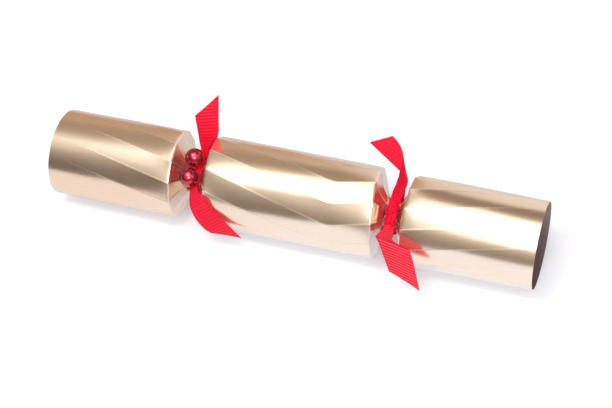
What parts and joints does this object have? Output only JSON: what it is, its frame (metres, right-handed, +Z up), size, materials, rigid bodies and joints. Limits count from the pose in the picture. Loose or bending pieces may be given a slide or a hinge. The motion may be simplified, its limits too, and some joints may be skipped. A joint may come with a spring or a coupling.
{
  "type": "christmas cracker",
  "caption": "Christmas cracker of gold foil card with crimped die-cut necks, tied red grosgrain ribbons and berries; its ends pull apart and draw out the snap inside.",
  "frame": {"origin": "under the middle of the barrel, on the flat lap seam that the cracker rests on", "axes": "+X along the cracker towards the end without berries, +Y to the back, +Z up"},
  "size_m": [0.305, 0.0692, 0.0813],
  "materials": {
    "gold_card": "glossy gold foil laminated on card",
    "red_ribbon": "ribbed grosgrain",
    "red_berry": "gloss lacquer",
    "stem_wire": "paper-wrapped wire",
    "snap_card": "plain card",
    "snap_patch": "matt coating",
    "sleeve_paper": "plain paper",
    "glue": "hot-melt glue",
    "tissue": "tissue paper",
    "band_rubber": "plain",
    "motto_paper": "plain paper",
    "toy_plastic": "gloss"
  },
  "bodies": {
    "barrel": {"barrel_card": "gold_card", "left_ribbon": "red_ribbon", "right_ribbon": "red_ribbon", "berry_upper": "red_berry", "berry_lower": "red_berry", "berry_wire": "stem_wire", "paper_hat": "tissue", "hat_band": "band_rubber", "motto_slip": "motto_paper", "spinning_top": "toy_plastic"},
    "left_end": {"left_end_card": "gold_card", "left_snap_strip": "snap_card", "left_snap_glue": "glue", "snap_charge": "snap_patch"},
    "right_end": {"right_end_card": "gold_card", "right_snap_strip": "snap_card", "right_snap_glue": "glue", "snap_abrasive": "snap_patch", "snap_sleeve": "sleeve_paper"}
  },
  "joints": [
    {"name": "left_pull", "type": "slide", "parent": "barrel", "child": "left_end", "axis": [-1, 0, 0], "range_m": [0, 0.09]},
    {"name": "right_pull", "type": "slide", "parent": "barrel", "child": "right_end", "axis": [1, 0, 0], "range_m": [0, 0.09]}
  ]
}
